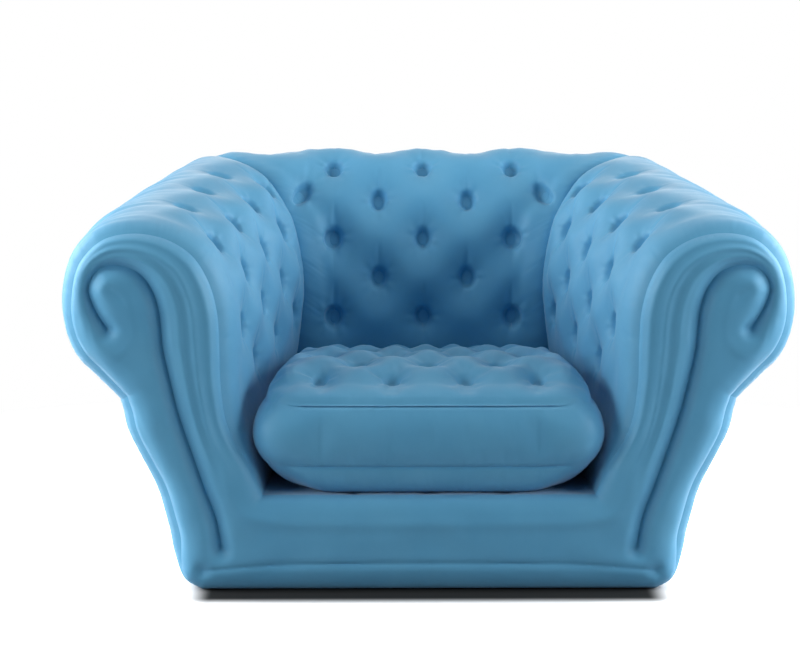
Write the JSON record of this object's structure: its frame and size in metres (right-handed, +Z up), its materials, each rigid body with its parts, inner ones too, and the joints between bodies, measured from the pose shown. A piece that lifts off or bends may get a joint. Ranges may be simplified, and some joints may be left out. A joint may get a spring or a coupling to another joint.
{
  "type": "inflatable outdoor armchair",
  "caption": "Inflatable rolled-arm armchair in soft-touch vinyl with button tufting, a loose tufted seat cushion, inner webs and screw valves.",
  "frame": {"origin": "on the floor, under the middle of the chair's bounding box", "axes": "+X to the viewer's right as the chair is faced, -Y to the front, +Z up"},
  "size_m": [1.4504, 0.9795, 0.8201],
  "materials": {
    "soft_touch_vinyl": "satin",
    "web_vinyl": "satin",
    "valve_moulding": "satin",
    "valve_rubber": "matte"
  },
  "bodies": {
    "chair": {"arm_left_tufted_panel": "soft_touch_vinyl", "arm_left_outer_panel": "soft_touch_vinyl", "arm_right_tufted_panel": "soft_touch_vinyl", "arm_right_outer_panel": "soft_touch_vinyl", "back_tufted_panel": "soft_touch_vinyl", "back_outer_panel": "soft_touch_vinyl", "facing_left": "soft_touch_vinyl", "facing_right": "soft_touch_vinyl", "front_rail_panel": "soft_touch_vinyl", "seat_deck_panel": "soft_touch_vinyl", "base_panel": "soft_touch_vinyl", "arm_left_web_1": "web_vinyl", "arm_left_web_2": "web_vinyl", "arm_left_web_3": "web_vinyl", "arm_right_web_1": "web_vinyl", "arm_right_web_2": "web_vinyl", "arm_right_web_3": "web_vinyl", "back_web_1": "web_vinyl", "back_web_2": "web_vinyl", "back_web_3": "web_vinyl", "corner_web_left": "web_vinyl", "corner_web_right": "web_vinyl", "base_beam_1": "web_vinyl", "base_beam_2": "web_vinyl", "base_beam_3": "web_vinyl", "body_valve_base": "valve_moulding"},
    "cushion": {"cushion_top_panel": "soft_touch_vinyl", "cushion_side_band": "soft_touch_vinyl", "cushion_base_panel": "soft_touch_vinyl", "cushion_beam_1": "web_vinyl", "cushion_beam_2": "web_vinyl", "cushion_beam_3": "web_vinyl", "cushion_valve_base": "valve_moulding"},
    "body_valve_plug_seal": {"body_valve_plug_gasket": "valve_rubber"},
    "body_valve_plug": {"body_valve_plug": "valve_moulding", "body_valve_tether": "valve_rubber"},
    "body_valve_flap": {"body_valve_flap": "valve_rubber"},
    "body_valve_cap_seal": {"body_valve_cap_gasket": "valve_rubber"},
    "body_valve_cap": {"body_valve_cap": "valve_moulding"},
    "cushion_valve_plug_seal": {"cushion_valve_plug_gasket": "valve_rubber"},
    "cushion_valve_plug": {"cushion_valve_plug": "valve_moulding", "cushion_valve_tether": "valve_rubber"},
    "cushion_valve_flap": {"cushion_valve_flap": "valve_rubber"},
    "cushion_valve_cap_seal": {"cushion_valve_cap_gasket": "valve_rubber"},
    "cushion_valve_cap": {"cushion_valve_cap": "valve_moulding"}
  },
  "joints": [
    {"name": "cushion_pull_out", "type": "slide", "parent": "chair", "child": "cushion", "axis": [0, -1, 0], "range_m": [0, 0.9]},
    {"name": "body_valve_plug_rise", "type": "slide", "parent": "chair", "child": "body_valve_plug_seal", "axis": [0, 1, 0], "range_m": [0, 0.003]},
    {"name": "body_valve_plug_turn", "type": "hinge", "parent": "body_valve_plug_seal", "child": "body_valve_plug", "pos_m": [0.1, 0.40912, 0.19], "axis": [0, 1, 0], "range_deg": [0, 540]},
    {"name": "body_valve_cap_rise", "type": "slide", "parent": "body_valve_plug", "child": "body_valve_cap_seal", "axis": [0, 1, 0], "range_m": [0, 0.003]},
    {"name": "body_valve_cap_turn", "type": "hinge", "parent": "body_valve_cap_seal", "child": "body_valve_cap", "pos_m": [0.1, 0.40912, 0.19], "axis": [0, 1, 0], "range_deg": [0, 540]},
    {"name": "body_valve_flap_swing", "type": "hinge", "parent": "body_valve_plug", "child": "body_valve_flap", "pos_m": [0.1, 0.39682, 0.2046], "axis": [-1, 0, 0], "range_deg": [0, 60]},
    {"name": "cushion_valve_plug_rise", "type": "slide", "parent": "cushion", "child": "cushion_valve_plug_seal", "axis": [0, 1, 0], "range_m": [0, 0.003]},
    {"name": "cushion_valve_plug_turn", "type": "hinge", "parent": "cushion_valve_plug_seal", "child": "cushion_valve_plug", "pos_m": [0, 0.2, 0.3093], "axis": [0, 1, 0], "range_deg": [0, 540]},
    {"name": "cushion_valve_cap_rise", "type": "slide", "parent": "cushion_valve_plug", "child": "cushion_valve_cap_seal", "axis": [0, 1, 0], "range_m": [0, 0.003]},
    {"name": "cushion_valve_cap_turn", "type": "hinge", "parent": "cushion_valve_cap_seal", "child": "cushion_valve_cap", "pos_m": [0, 0.2, 0.3093], "axis": [0, 1, 0], "range_deg": [0, 540]},
    {"name": "cushion_valve_flap_swing", "type": "hinge", "parent": "cushion_valve_plug", "child": "cushion_valve_flap", "pos_m": [0, 0.1877, 0.3239], "axis": [-1, 0, 0], "range_deg": [0, 60]}
  ],
  "couplings": [
    {"joint": "body_valve_plug_rise", "follows": "body_valve_plug_turn", "m_per_rad": 0.000318},
    {"joint": "body_valve_cap_rise", "follows": "body_valve_cap_turn", "m_per_rad": 0.000318},
    {"joint": "cushion_valve_plug_rise", "follows": "cushion_valve_plug_turn", "m_per_rad": 0.000318},
    {"joint": "cushion_valve_cap_rise", "follows": "cushion_valve_cap_turn", "m_per_rad": 0.000318}
  ]
}
